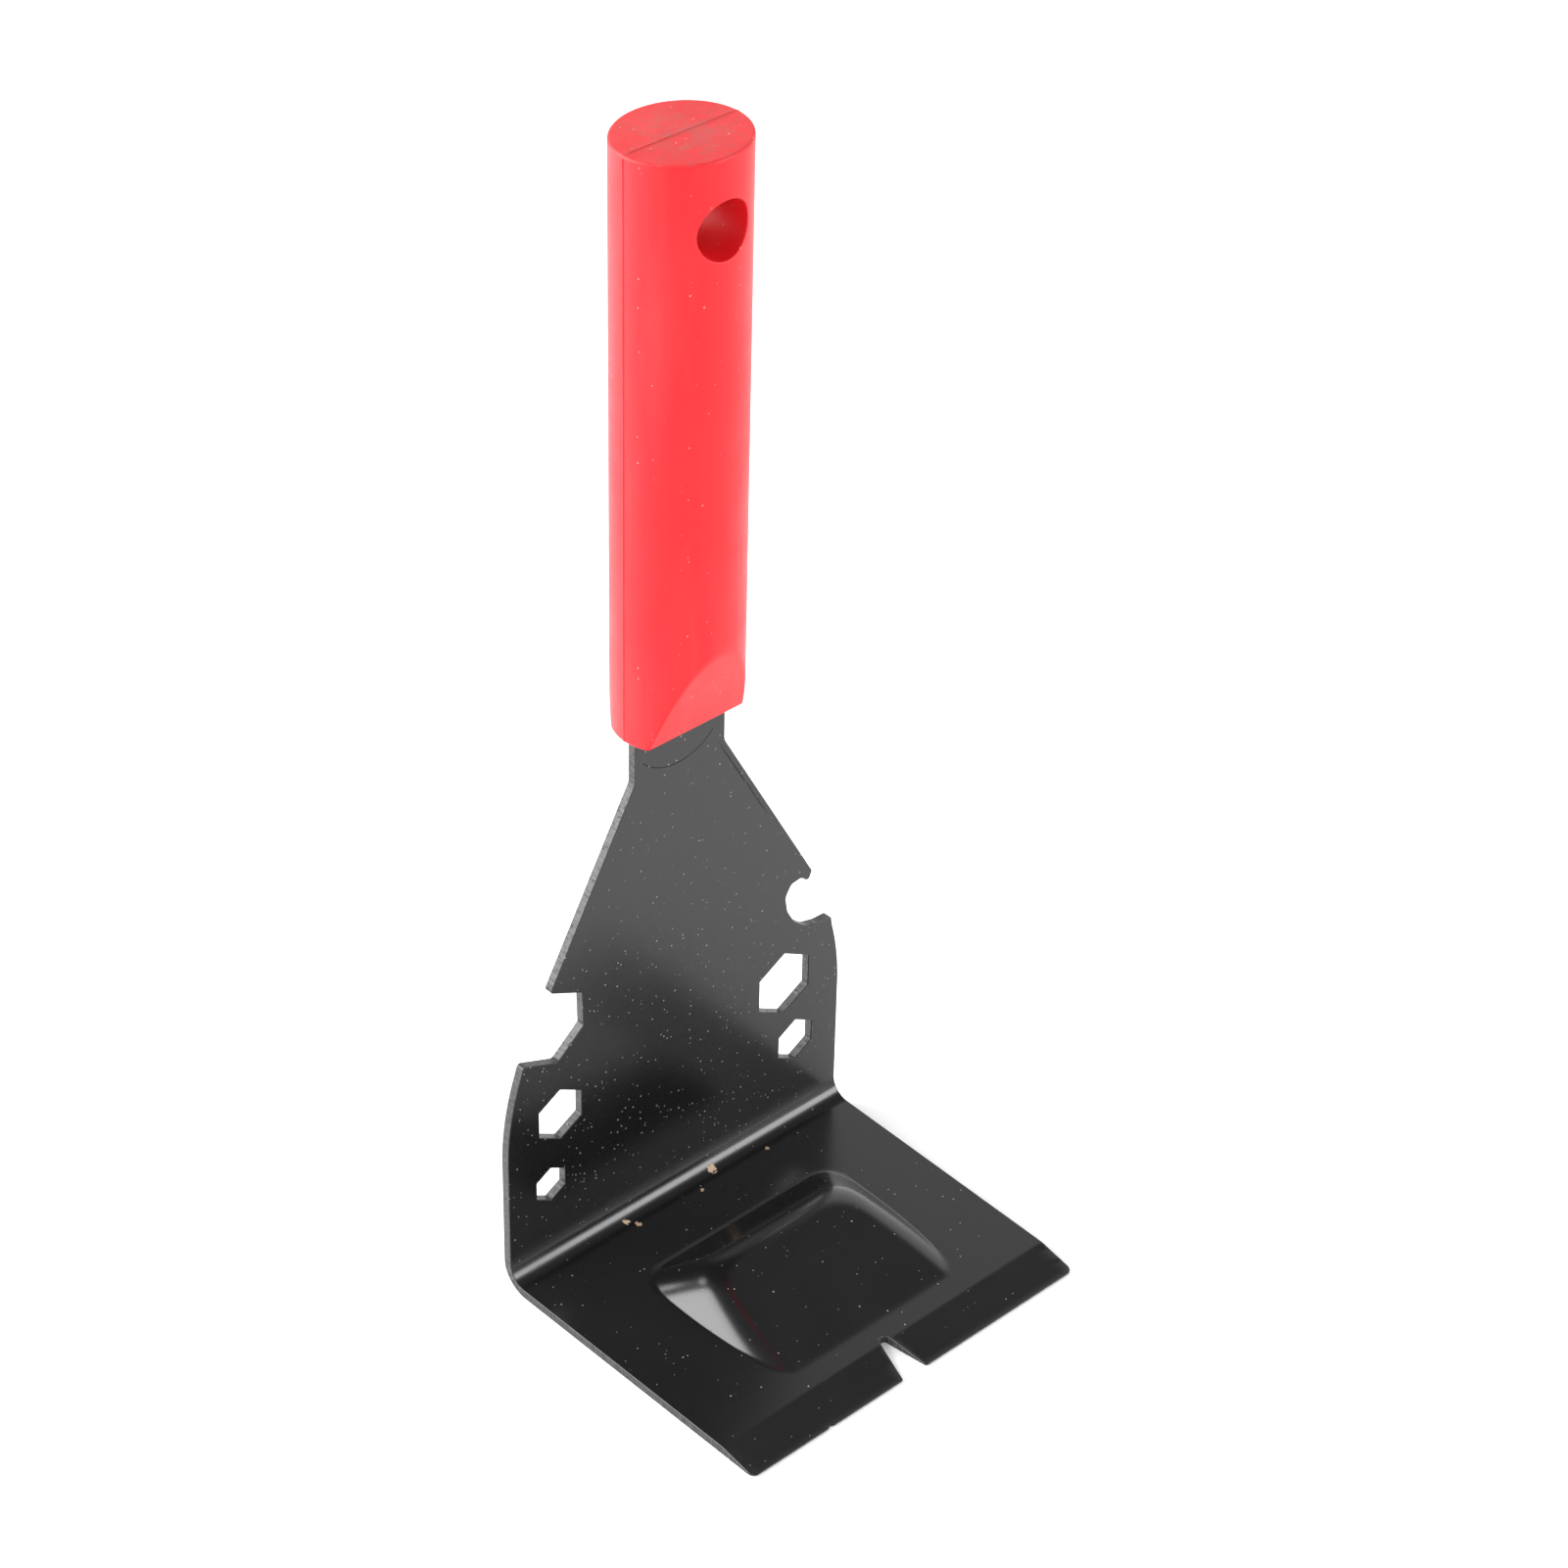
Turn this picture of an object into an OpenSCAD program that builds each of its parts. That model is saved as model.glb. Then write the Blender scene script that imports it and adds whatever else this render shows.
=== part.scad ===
// Trim puller: a bent steel blade with spanner holes, moulded into a plastic handle.
// The foot lies on z = 0 and points to -Y, the handle stands up along +Z.
// Origin: centre of the overall box, at the foot's underside.

/* [Sheet] */
// Thickness of the steel sheet
plate_t = 2.2; // [1.8:0.1:2.6]
// Width of the blade and the foot at the bend
plate_w = 100; // [96:1:106]
// Inside radius of the right-angle bend
bend_r = 4.8; // [3:0.2:7]

/* [Foot] */
// Length of the foot from the upright's front face to its tip
foot_len = 80.4; // [79:0.2:90]
// Width lost by the foot between the bend and its tip
foot_taper = 1.4; // [0:0.1:3]
// Length of the ground bevel at the tip
bevel_len = 10; // [6:0.5:12]
// Thickness left at the tip of the bevel
tip_t = 0.4; // [0.3:0.1:1]
// Size of the small chamfers on the foot's front corners
tip_corner = 1.8; // [0.5:0.1:3]
// Width of the nail notch's mouth on the left of the middle
nail_left = 4.3; // [3:0.1:6]
// Width of the nail notch's mouth on the right of the middle
nail_right = 2.8; // [2:0.1:6]
// Width of the nail notch at its closed end
nail_root_w = 2.2; // [1.5:0.1:3]
// Depth of the nail notch
nail_depth = 11.8; // [8:0.2:13]

/* [Pressed wedge] */
// Height of the wedge at its back ridge
wedge_h = 7; // [5:0.5:8]
// Offset of the wedge's middle to the right
wedge_x = 1.8; // [0:0.1:3]
// Distance from the upright to the wedge's back edge
wedge_back = 19; // [16:0.5:22]
// Distance from the upright to the back ridge
wedge_ridge = 32; // [29:0.5:36]
// Distance from the upright to the front crease
wedge_front = 62.5; // [58:0.5:63]
// Width of the wedge along its back edge
wedge_back_w = 57; // [50:1:60]
// Width of the wedge along its ridge
wedge_ridge_w = 43; // [36:1:46]
// Width of the wedge along its front crease
wedge_front_w = 53; // [46:1:54]

/* [Upright] */
// Height where the straight sides turn into the shoulder arcs
shoulder_z = 33.6; // [32:0.2:36]
// Radius of the shoulder arcs
shoulder_r = 70; // [64:1:80]
// Height where the shoulders meet the tapered web
web_z = 62; // [60:0.5:64]
// Width of the web where it leaves the shoulders
web_w = 90.8; // [88:0.2:93]
// Width lost by the web per millimetre of height
web_slope = 1.11; // [1.08:0.01:1.14]
// Width of the neck between the web and the handle
neck_w = 25.8; // [24:0.2:27]

/* [Spanner holes] */
// Clearance added to each spanner size
hex_clear = 0.2; // [0:0.1:0.4]
// Spanner size of the large hole on the right
hex_a = 15; // [14:1:16]
// Spanner size of the small hole on the right
hex_b = 10; // [9:1:11]
// Spanner size of the large hole on the left
hex_c = 12; // [11:1:13]
// Spanner size of the small hole on the left
hex_d = 8; // [7:1:9]

/* [Handle] */
// Width of the handle's oval section, across the blade
handle_w = 30.2; // [29:0.2:33]
// Depth of the handle's oval section
handle_d = 27.4; // [26:0.2:30]
// Height of the handle's lower end above the foot's top face
handle_z0 = 132.4; // [128:0.2:136]
// Height of the handle's top above the foot's top face
handle_z1 = 271; // [266:1:290]
// Thickness of the handle's lower end between its two flats
flats_d = 12; // [11:0.2:16]
// Height of the two flats
flats_h = 22.8; // [18:0.2:28]
// Height of the hanging hole's centre above the foot's top face
hang_z = 255; // [245:1:256]
// Diameter of the hanging hole
hang_d = 13.2; // [8:0.2:14]

/* [Tang] */
// Width of the tang inside the handle
tang_w = 20; // [14:1:22]
// Height of the tang's end above the foot's top face
tang_z = 208; // [200:1:230]
// Diameter of the holes that lock the tang in the handle
lock_d = 7; // [5:0.5:9]
// Distance between the two lock holes
lock_pitch = 28; // [24:1:30]
// Height of the lower lock hole above the foot's top face
lock_z = 154; // [150:1:158]
// How far the neck's full width reaches into the handle
neck_cover = 6; // [3:1:10]
// Size of the chamfers on the tang's end
tang_chamfer = 5; // [2:0.5:6]

/* [Hidden] */
$fn = 96;
past = 1;                                    // how far a cutter runs past a face
far = 40;                                    // how far a notch cutter runs outward
mid_y = plate_t / 2;                         // middle of the upright's thickness
back_y = mid_y + handle_d / 2;               // rearmost point of the handle
origin_y = (foot_len - back_y) / 2;          // puts the origin at the centre of the box
web_top = web_z + (web_w - neck_w) / web_slope;

// Where things stand on the upright, as [x, height above the foot's top face]
hex_a_at = [32.7, 42.1];
hex_b_at = [36.7, 23.3];
hex_c_at = [-34.8, 40.7];
hex_d_at = [-37.8, 21.8];
opener_at = [43.5, 65.5];                    // centre of the opener notch's large arc
opener_r = 10.6;
opener_corner = [36.1, 67.4];                // centre of its small upper arc
opener_corner_r = 3;
opener_lip = opener_corner + [1.4, 2.6];     // where the small arc runs into the tooth
opener_tooth = [39.3, 68.7];                 // tip of the tooth above the notch
opener_brow = [40.6, 71];                    // where the tooth meets the edge of the web
hook_root = -28.1;                           // side wall of the hook notch on the left
hook_top = 71.7;
hook_side = 62.2;
hook_heel = [-35.4, 55.7];                   // lowest point of the hook notch
hook_ledge = [-37.4, 56.4];                  // where the ledge below the hook notch starts
hook_rise = 0.42;                            // rise of the ledge per millimetre outward
hook_fall = 0.5;                             // rise of the notch's upper wall per millimetre outward

steel = [0.09, 0.09, 0.10];
red = [0.85, 0.10, 0.11];

// Turns an outline drawn in x and height into a slab between y = y0 and y = y1
module upright(y0, y1) {
    translate([0, y1, 0]) rotate([90, 0, 0]) linear_extrude(y1 - y0) children();
}

module shoulders() {
    translate([-plate_w / 2, bend_r]) square([plate_w, shoulder_z - bend_r]);
    intersection() {
        translate([shoulder_r - plate_w / 2, shoulder_z]) circle(r = shoulder_r);
        translate([plate_w / 2 - shoulder_r, shoulder_z]) circle(r = shoulder_r);
        translate([-plate_w / 2, shoulder_z]) square([plate_w, web_z - shoulder_z]);
    }
}

module web() {
    polygon([
        [-web_w / 2, web_z],
        [web_w / 2, web_z],
        [neck_w / 2, web_top],
        [-neck_w / 2, web_top],
    ]);
}

module tang() {
    neck_top = handle_z0 + neck_cover;
    translate([-neck_w / 2, web_top]) square([neck_w, neck_top - web_top]);
    difference() {
        translate([-tang_w / 2, web_top]) square([tang_w, tang_z - web_top]);
        for (side = [-1, 1]) {
            translate([side * tang_w / 2, tang_z]) rotate(45) square(tang_chamfer * sqrt(2), center = true);
        }
    }
}

// Notch on the left edge: a straight hook with a ledge below it
module hook_notch() {
    polygon([
        [hook_root - far, hook_top + hook_fall * far],
        [hook_root, hook_top],
        [hook_root, hook_side],
        hook_heel,
        hook_ledge,
        [hook_ledge[0] - far, hook_ledge[1] + hook_rise * far],
    ]);
}

// Notch on the right edge: a round opener mouth with a tooth above it
module opener_notch() {
    mouth_z = opener_at[1] - opener_r;
    intersection() {
        translate(opener_at) circle(r = opener_r);
        translate([opener_at[0] - opener_r, mouth_z]) square([opener_r, opener_corner[1] - mouth_z]);
    }
    translate([opener_at[0], mouth_z]) square([far, opener_corner[1] - mouth_z]);
    translate(opener_corner) circle(r = opener_corner_r);
    polygon([
        opener_corner,
        opener_lip,
        opener_tooth,
        opener_brow,
        opener_brow + [far, 0],
        [opener_brow[0] + far, opener_corner[1]],
    ]);
}

module hex_hole(size, at) {
    translate(at) rotate(30) circle(d = (size + hex_clear) / cos(30), $fn = 6);
}

module lock_holes() {
    for (i = [0, 1]) {
        translate([0, lock_z + i * lock_pitch]) circle(d = lock_d);
    }
}

// Flat part of the foot, seen from above, with its front corners and nail notch
module foot_outline() {
    tip_w = plate_w - foot_taper;
    difference() {
        polygon([
            [-plate_w / 2, -bend_r],
            [-tip_w / 2, -foot_len + tip_corner],
            [-tip_w / 2 + tip_corner, -foot_len],
            [tip_w / 2 - tip_corner, -foot_len],
            [tip_w / 2, -foot_len + tip_corner],
            [plate_w / 2, -bend_r],
        ]);
        polygon([
            [-nail_left, -foot_len],
            [-nail_root_w / 2, -foot_len + nail_depth],
            [nail_root_w / 2, -foot_len + nail_depth],
            [nail_right, -foot_len],
            [nail_right, -foot_len - past],
            [-nail_left, -foot_len - past],
        ]);
    }
}

module bevel_cut() {
    translate([-plate_w, 0, 0]) rotate([90, 0, 90]) linear_extrude(2 * plate_w) polygon([
        [-foot_len + bevel_len, 0],
        [-foot_len + bevel_len, past],
        [-foot_len - past, past],
        [-foot_len - past, tip_t - plate_t],
        [-foot_len, tip_t - plate_t],
    ]);
}

// The wedge's outer form above z = 0, on a straight skirt that reaches below it
module wedge_form(skirt) {
    rim = [
        [-wedge_back_w / 2, -wedge_back],
        [wedge_back_w / 2, -wedge_back],
        [wedge_front_w / 2, -wedge_front],
        [-wedge_front_w / 2, -wedge_front],
    ];
    ridge = [
        [wedge_ridge_w / 2, -wedge_ridge, wedge_h],
        [-wedge_ridge_w / 2, -wedge_ridge, wedge_h],
    ];
    translate([wedge_x, 0, 0]) polyhedron(
        points = concat([for (p = rim) [p[0], p[1], -skirt]], [for (p = rim) [p[0], p[1], 0]], ridge),
        faces = concat(
            [[3, 2, 1, 0]],
            [for (i = [0:3]) [i, (i + 1) % 4, (i + 1) % 4 + 4, i + 4]],
            [[4, 5, 8, 9], [5, 6, 8], [6, 7, 9, 8], [7, 4, 9]]
        )
    );
}

module bend() {
    translate([-plate_w / 2, -bend_r, bend_r]) rotate([0, 90, 0])
        rotate_extrude(angle = 90) translate([bend_r, 0]) square([plate_t, plate_w]);
}

module blade() {
    color(steel) translate([0, origin_y, plate_t]) difference() {
        union() {
            upright(0, plate_t) {
                shoulders();
                web();
                tang();
            }
            bend();
            translate([0, 0, -plate_t]) linear_extrude(plate_t) foot_outline();
            wedge_form(plate_t / 2);
        }
        upright(-past, plate_t + past) {
            hook_notch();
            opener_notch();
            hex_hole(hex_a, hex_a_at);
            hex_hole(hex_b, hex_b_at);
            hex_hole(hex_c, hex_c_at);
            hex_hole(hex_d, hex_d_at);
            lock_holes();
        }
        bevel_cut();
        translate([0, 0, -plate_t]) wedge_form(past);
    }
}

module handle_section() {
    scale([handle_w / handle_d, 1]) circle(d = handle_d);
}

// Cuts one of the two sloping flats at the handle's lower end
module flat_cut(side) {
    translate([-handle_w, mid_y, handle_z0]) rotate([90, 0, 90]) linear_extrude(2 * handle_w) polygon([
        [side * flats_d / 2, 0],
        [side * flats_d / 2, -past],
        [side * handle_d, -past],
        [side * handle_d, flats_h],
        [side * handle_d / 2, flats_h],
    ]);
}

module handle() {
    color(red) translate([0, origin_y, plate_t]) difference() {
        translate([0, mid_y, handle_z0]) linear_extrude(handle_z1 - handle_z0) handle_section();
        flat_cut(-1);
        flat_cut(1);
        difference() {
            upright(0, plate_t) tang();
            upright(-past, plate_t + past) lock_holes();
        }
        translate([0, mid_y + handle_d, hang_z]) rotate([90, 0, 0]) cylinder(d = hang_d, h = 2 * handle_d);
    }
}

blade();
handle();
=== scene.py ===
"""Looks for a trim puller: a bent, black-coated steel blade in a red moulded handle.

Lengths are in mm, measured from the sharp inner corner of the blade: +X across the blade, -Y along the
foot, +Z up the handle. to_row() turns them into the row frame in metres.
"""

import math

import bpy
import numpy as np
from mathutils import Matrix, Vector
from mathutils.geometry import delaunay_2d_cdt


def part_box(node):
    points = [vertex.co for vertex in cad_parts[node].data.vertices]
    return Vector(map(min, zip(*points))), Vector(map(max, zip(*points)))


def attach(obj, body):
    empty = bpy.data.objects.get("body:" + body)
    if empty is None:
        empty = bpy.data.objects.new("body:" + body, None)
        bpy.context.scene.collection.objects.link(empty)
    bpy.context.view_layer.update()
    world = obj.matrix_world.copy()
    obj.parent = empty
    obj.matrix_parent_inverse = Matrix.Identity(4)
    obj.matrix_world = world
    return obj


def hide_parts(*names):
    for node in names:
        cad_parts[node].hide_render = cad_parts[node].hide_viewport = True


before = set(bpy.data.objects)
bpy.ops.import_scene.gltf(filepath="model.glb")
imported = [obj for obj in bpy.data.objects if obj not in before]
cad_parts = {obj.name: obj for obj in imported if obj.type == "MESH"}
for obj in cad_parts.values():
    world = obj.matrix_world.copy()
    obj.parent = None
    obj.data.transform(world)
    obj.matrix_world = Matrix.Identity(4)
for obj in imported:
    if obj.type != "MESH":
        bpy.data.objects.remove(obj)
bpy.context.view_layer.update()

MM = 0.001
PLATE_T = 2.2                 # thickness of the steel sheet
BEND_R = 4.8                  # inside radius of the bend
BEND_LEN = BEND_R * math.pi / 2
FACE_ROUND = 0.18             # rounding where a face rolls over into a sheared wall
BACK_ROUND = 0.14             # the same on the back
BEVEL_Y, TIP_Y, TIP_T = -70.4, -80.4, 0.4
EPS = 0.01                    # step for slopes and normals
SLIVER = 5e-5                 # twice the area below which a triangle lies outside a straight edge

blade_high = np.array(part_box("blade")[1]) / MM
handle_low, handle_high = (np.array(corner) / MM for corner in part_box("handle"))
CORNER = np.array([0.0, blade_high[1] - PLATE_T, PLATE_T])
GRIP_Z0 = handle_low[2] - PLATE_T
GRIP_Z1 = handle_high[2] - PLATE_T
GRIP_A = (handle_high[0] - handle_low[0]) / 2
GRIP_B = (handle_high[1] - handle_low[1]) / 2
GRIP_Y = PLATE_T / 2


def to_row(points):
    return (np.asarray(points, float) + CORNER) * MM


def smooth_min(a, b, width):
    share = np.clip(0.5 + 0.5 * (b - a) / width, 0, 1)
    return b * (1 - share) + a * share - width * share * (1 - share)


def smooth_max(a, b, width):
    return -smooth_min(-a, -b, width)


def unit(vectors):
    return vectors / np.linalg.norm(vectors, axis=-1, keepdims=True)


# ---------------------------------------------------------------- meshes


class Skin:
    """A mesh in the making: points with their normals and three marks each, and faces.

    A face turns itself the way its normals point. A flat one has a normal of its own.
    """

    def __init__(self):
        self.points = []
        self.normals = []
        self.wall = []
        self.run = []
        self.rub = []
        self.faces = []
        self.face_normals = []

    def add(self, points, normals, wall=0.0, run=None, rub=None):
        first = len(self.points)
        self.points.extend(np.asarray(points, float))
        self.normals.extend(unit(np.asarray(normals, float)))
        self.wall.extend([wall] * len(points))
        self.run.extend([0.0] * len(points) if run is None else run)
        self.rub.extend([0.0] * len(points) if rub is None else rub)
        return list(range(first, len(self.points)))

    def face(self, indices, flat_normal=None):
        first, second, third, last = (self.points[indices[i]] for i in (0, 1, 2, -1))
        turn = np.cross(second - first, third - first) + np.cross(third - first, last - first)
        if flat_normal is None:
            meant = sum(self.normals[i] for i in indices)
        else:
            meant = np.array(flat_normal, float)
        self.faces.append(indices if turn @ meant > 0 else indices[::-1])
        self.face_normals.append(flat_normal)

    def strip(self, a, b):
        """Quads between two closed rings of the same length."""
        for i in range(len(a)):
            j = (i + 1) % len(a)
            self.face((a[i], a[j], b[j], b[i]))

    def patch(self, flat, indices, loops, flat_normal=None):
        """Triangles over flat points, inside the loops. A loop is a list of places in flat."""
        edges = [(loop[i - 1], loop[i]) for loop in loops for i in range(len(loop))]
        made = delaunay_2d_cdt([Vector(p) for p in flat], edges, [], 0, 1e-7)
        places, triangles, origin = made[0], made[2], made[3]
        places = np.array([tuple(p) for p in places])
        triangles = np.array(triangles)
        middles = places[triangles].mean(axis=1)
        inside = np.zeros(len(middles), bool)
        for loop in loops:
            inside ^= within(middles, np.asarray(flat)[loop])
        for tri in triangles[inside]:
            a, b, c = places[tri]
            doubled_area = (b[0] - a[0]) * (c[1] - a[1]) - (b[1] - a[1]) * (c[0] - a[0])
            if abs(doubled_area) > SLIVER:
                self.face(tuple(indices[origin[i][0]] for i in tri), flat_normal)

    def build(self, name):
        mesh = bpy.data.meshes.new(name)
        mesh.from_pydata(to_row(self.points).tolist(), [], self.faces)
        mesh.update()
        for label, values in (("wall", self.wall), ("run", self.run), ("rub", self.rub)):
            layer = mesh.attributes.new(label, "FLOAT", "POINT")
            layer.data.foreach_set("value", np.array(values, np.float32))
        mesh.polygons.foreach_set("use_smooth", [True] * len(mesh.polygons))
        corners = []
        for indices, own in zip(self.faces, self.face_normals):
            corners += [tuple(self.normals[i]) if own is None else own for i in indices]
        mesh.normals_split_custom_set(corners)
        made = bpy.data.objects.new(name, mesh)
        bpy.context.scene.collection.objects.link(made)
        return made


def within(points, loop):
    """Which points lie inside a closed loop."""
    inside = np.zeros(len(points), bool)
    x, y = points[:, 0], points[:, 1]
    for (x0, y0), (x1, y1) in zip(loop, np.roll(loop, -1, axis=0)):
        if y0 == y1:
            continue
        crosses = (y0 > y) != (y1 > y)
        inside ^= crosses & (x < x0 + (y - y0) * (x1 - x0) / (y1 - y0))
    return inside


def clear_of(points, loops, gap):
    """The points that are farther than gap from every loop's points."""
    rim = np.concatenate(loops)
    keep = np.ones(len(points), bool)
    for i in range(0, len(points), 400):
        block = points[i:i + 400]
        near = np.linalg.norm(block[:, None] - rim[None], axis=2).min(axis=1)
        keep[i:i + 400] = near > gap
    return points[keep]


def grid(x0, x1, dx, y0, y1, dy):
    xs = np.linspace(x0, x1, max(2, round((x1 - x0) / dx) + 1))
    ys = np.linspace(y0, y1, max(2, round((y1 - y0) / dy) + 1))
    return np.array([(x, y) for y in ys for x in xs])


def rounded(corners):
    """A closed loop with each corner (x, y, radius) turned into a short arc."""
    loop = []
    count = len(corners)
    for i, (x, y, radius) in enumerate(corners):
        here = np.array([x, y])
        back = np.array(corners[i - 1][:2]) - here
        on = np.array(corners[(i + 1) % count][:2]) - here
        if radius <= 0:
            loop.append(here)
            continue
        a, b = unit(back), unit(on)
        half = math.acos(np.clip(a @ b, -1, 1)) / 2
        reach = min(radius / math.tan(half), 0.49 * np.linalg.norm(back), 0.49 * np.linalg.norm(on))
        radius = reach * math.tan(half)
        centre = here + unit(a + b) * radius / math.sin(half)
        start, end = here + a * reach - centre, here + b * reach - centre
        sweep = math.atan2(start[0] * end[1] - start[1] * end[0], start @ end)
        steps = max(2, math.ceil(abs(sweep) / 0.26))
        for k in range(steps + 1):
            c, s = math.cos(sweep * k / steps), math.sin(sweep * k / steps)
            loop.append(centre + np.array([c * start[0] - s * start[1], s * start[0] + c * start[1]]))
    return np.array(loop)


def resampled(loop, step):
    """The loop with extra points, so that no edge is longer than step(middle of the edge)."""
    full = []
    for a, b in zip(loop, np.roll(loop, -1, axis=0)):
        length = np.linalg.norm(b - a)
        if length < 1e-6:
            continue
        pieces = max(1, math.ceil(length / step((a + b) / 2)))
        full.extend(a + (b - a) * k / pieces for k in range(pieces))
    return np.array(full)


def inward(loop):
    """Unit normals to the left of the way round, lengthened at corners so that an offset stays true."""
    on = unit(np.roll(loop, -1, axis=0) - loop)
    before = np.roll(on, 1, axis=0)
    left_on = np.stack([-on[:, 1], on[:, 0]], 1)
    left_before = np.stack([-before[:, 1], before[:, 0]], 1)
    mean = unit(left_on + left_before)
    return mean, 1 / np.maximum(np.sum(mean * left_on, axis=1), 0.7)


# ---------------------------------------------------------------- blade

WEDGE_H = 7.7
WEDGE_X = 1.8                 # the pressing sits a little right of the middle
WEDGE_BACK, WEDGE_RIDGE, WEDGE_FRONT = 18.7, 31.7, 63.7
WEDGE_HALF = 29.5             # half its width at the back
WEDGE_SIDE = 0.875            # slope of its sides


def sheet(x, s):
    """Place on the front face of the bent sheet, with the directions along s and out of the face.

    s runs up the flat pattern and is 0 where the foot meets the bend.
    """
    x, s = np.broadcast_arrays(np.asarray(x, float), np.asarray(s, float))
    angle = np.clip(s / BEND_R, 0, math.pi / 2)
    zero = np.zeros_like(angle)
    y = np.where(s < 0, s - BEND_R, BEND_R * (np.sin(angle) - 1))
    z = BEND_R * (1 - np.cos(angle)) + np.maximum(s - BEND_LEN, 0)
    along = np.stack([zero, np.cos(angle), np.sin(angle)], -1)
    out = np.stack([zero, -np.sin(angle), np.cos(angle)], -1)
    return np.stack([x, y, z], -1), along, out


def up(x, z, radius=0.0):
    """A corner of the outline on the upright."""
    return (x, BEND_LEN + z - BEND_R, radius)


def foot(x, y, radius=0.0):
    """A corner of the outline on the foot."""
    return (x, y + BEND_R, radius)


def pressing(x, s, narrow=0.0):
    """Height of the pressed wedge, negative outside its rim. narrow draws it in, for the underside."""
    q = BEND_R - s
    back = WEDGE_H * (q - WEDGE_BACK - narrow) / (WEDGE_RIDGE - WEDGE_BACK)
    front = WEDGE_H * (WEDGE_FRONT - narrow - q) / (WEDGE_FRONT - WEDGE_RIDGE)
    half = WEDGE_HALF - narrow - 0.0032 * np.maximum(q - 33, 0) ** 2
    side = WEDGE_SIDE * (half - np.abs(x - WEDGE_X))
    return smooth_min(smooth_min(back, side, 6.0), front, 3.4)


def wedge(x, s, narrow):
    """Height of the foot's face over the flat: the pressing, with a crisp rim that softens at its back."""
    formed = pressing(x, s, narrow)
    soft = 0.28 + 0.3 * np.clip((s + 23) / 9, 0, 1)
    return np.where(s < -8, smooth_max(formed, np.zeros_like(formed), soft), 0)


def wedge_rim(offset, count=320):
    """Points along the rim of the pressing, or that far outside it."""
    turns = np.linspace(0, 2 * math.pi, count, endpoint=False)
    way = np.stack([np.cos(turns), np.sin(turns)], 1)
    middle = np.array([WEDGE_X, BEND_R - 40])
    near, far = np.full(count, 5.0), np.full(count, 45.0)
    for _ in range(40):
        reach = (near + far) / 2
        place = middle + way * reach[:, None]
        inside = pressing(place[:, 0], place[:, 1]) > 0
        near, far = np.where(inside, reach, near), np.where(inside, far, reach)
    return middle + way * (near + offset)[:, None]


def bevel(s):
    """How far the ground bevel lies below the foot's top face."""
    fall = (BEVEL_Y - (s - BEND_R)) * (PLATE_T - TIP_T) / (BEVEL_Y - TIP_Y)
    return smooth_max(fall, np.zeros_like(fall), 0.08)


def front_rise(x, s):
    return wedge(x, s, 0.0) - bevel(s)


def back_rise(x, s):
    return wedge(x, s, 1.0)


def surface(x, s, rise, side, depth):
    """Points and outward normals of the front (side 1) or back (side -1) of the sheet."""
    place, along, out = sheet(x, s)
    slope_x = (rise(x + EPS, s) - rise(x - EPS, s)) / (2 * EPS)
    slope_s = (rise(x, s + EPS) - rise(x, s - EPS)) / (2 * EPS)
    across = np.zeros_like(out)
    across[..., 0] = 1
    normal = side * (out - across * slope_x[..., None] - along * slope_s[..., None])
    return place + out * (rise(x, s) - depth)[..., None], normal


def arc(centre, radius, start, end, steps):
    """Corners along an arc on the upright, by angle in degrees."""
    turns = np.radians(np.linspace(start, end, steps))
    return [up(centre[0] + radius * math.cos(t), centre[1] + radius * math.sin(t)) for t in turns]


def hexagon(x, z, size):
    """A spanner hole, clockwise, so that the steel is on its left."""
    turns = np.radians([90 - 60 * i for i in range(6)])
    reach = (size + 0.2) / math.sqrt(3)
    return [up(x + reach * math.cos(t), z + reach * math.sin(t), 0.35) for t in turns]


def circle_hole(x, z, diameter):
    turns = np.radians([90 - 15 * i for i in range(24)])
    return [up(x + diameter / 2 * math.cos(t), z + diameter / 2 * math.sin(t)) for t in turns]


SHOULDER_R = 70
SHOULDER_Z = 33.6
NECK = 12.9
NECK_Z = 120.6
TANG = 10.0
TANG_Z = 208.0
LOCK_Z = (154, 182)
COVER_Z = GRIP_Z0 + 6

outline = [
    foot(-49.2, TIP_Y, 1.8),
    foot(-27.0, TIP_Y, 0.4),
    foot(-26.2, TIP_Y + 0.45, 0.4),
    foot(-25.2, TIP_Y, 0.4),
    foot(-4.3, TIP_Y, 0.7),
    foot(-1.1, -68.6, 0.6),
    foot(1.1, -68.6, 0.6),
    foot(2.8, TIP_Y, 0.7),
    foot(49.4, TIP_Y, 1.8),
    foot(50, -BEND_R),
    up(50, BEND_R),
    up(50, SHOULDER_Z),
]
outline += arc((50 - SHOULDER_R, SHOULDER_Z), SHOULDER_R, 1.5, 15.0, 10)
outline += [
    up(47.2, 54.4, 1.0),
    up(43.0, 54.6, 2.5),
    up(39.2, 55.6, 3.0),
    up(35.4, 58.9, 4.0),
    up(33.2, 62.9, 4.0),
    up(32.5, 67.2, 2.5),
    up(34.2, 70.1, 1.6),
    up(37.3, 70.5, 1.6),
    up(39.5, 68.5, 0.8),
    up(40.6, 71.0, 0.8),
    up(NECK, NECK_Z, 3.0),
    up(NECK, COVER_Z),
    up(TANG, COVER_Z),
    up(TANG, TANG_Z - 5),
    up(TANG - 5, TANG_Z),
    up(5 - TANG, TANG_Z),
    up(-TANG, TANG_Z - 5),
    up(-TANG, COVER_Z),
    up(-NECK, COVER_Z),
    up(-NECK, NECK_Z, 3.0),
    up(-37.2, 76.2, 0.8),
    up(-28.2, 71.8, 0.9),
    up(-27.9, 62.4, 0.9),
    up(-35.4, 55.9, 1.2),
    up(-45.1, 59.8, 0.9),
]
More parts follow.
